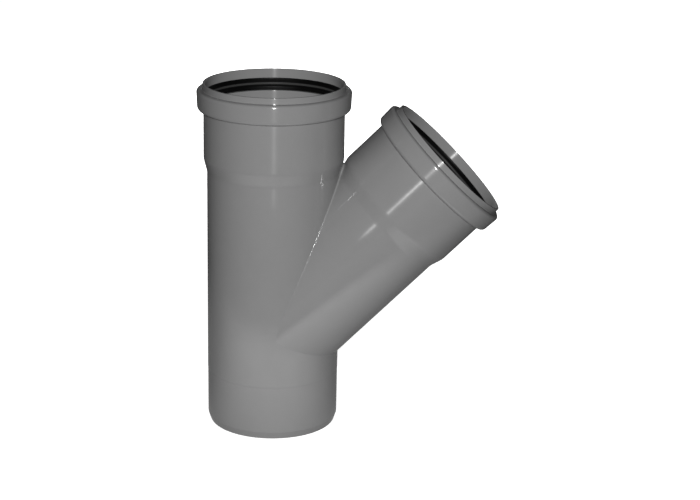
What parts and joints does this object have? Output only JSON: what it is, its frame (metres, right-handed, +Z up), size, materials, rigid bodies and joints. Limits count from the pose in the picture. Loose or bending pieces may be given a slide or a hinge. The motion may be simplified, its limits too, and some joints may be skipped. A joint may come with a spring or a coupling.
{
  "type": "45 degree branch pipe tee",
  "caption": "Grey plastic drain pipe fitting: a straight run with a plain spigot end, an equal branch at 45 degrees and push-fit sockets with rubber lip seals.",
  "frame": {"origin": "centre of the spigot's open end, on the run's axis", "axes": "+Z runs up the run's axis to its socket, +X is the side that the branch leans to, and the X-Z plane is the mirror plane of the fitting"},
  "size_m": [0.2503, 0.1272, 0.291],
  "materials": {
    "moulding": "smooth injection moulding, semi-gloss",
    "seal": "matte black"
  },
  "bodies": {
    "root": {"fitting": "moulding", "run_seal": "seal", "branch_seal": "seal"}
  },
  "joints": []
}
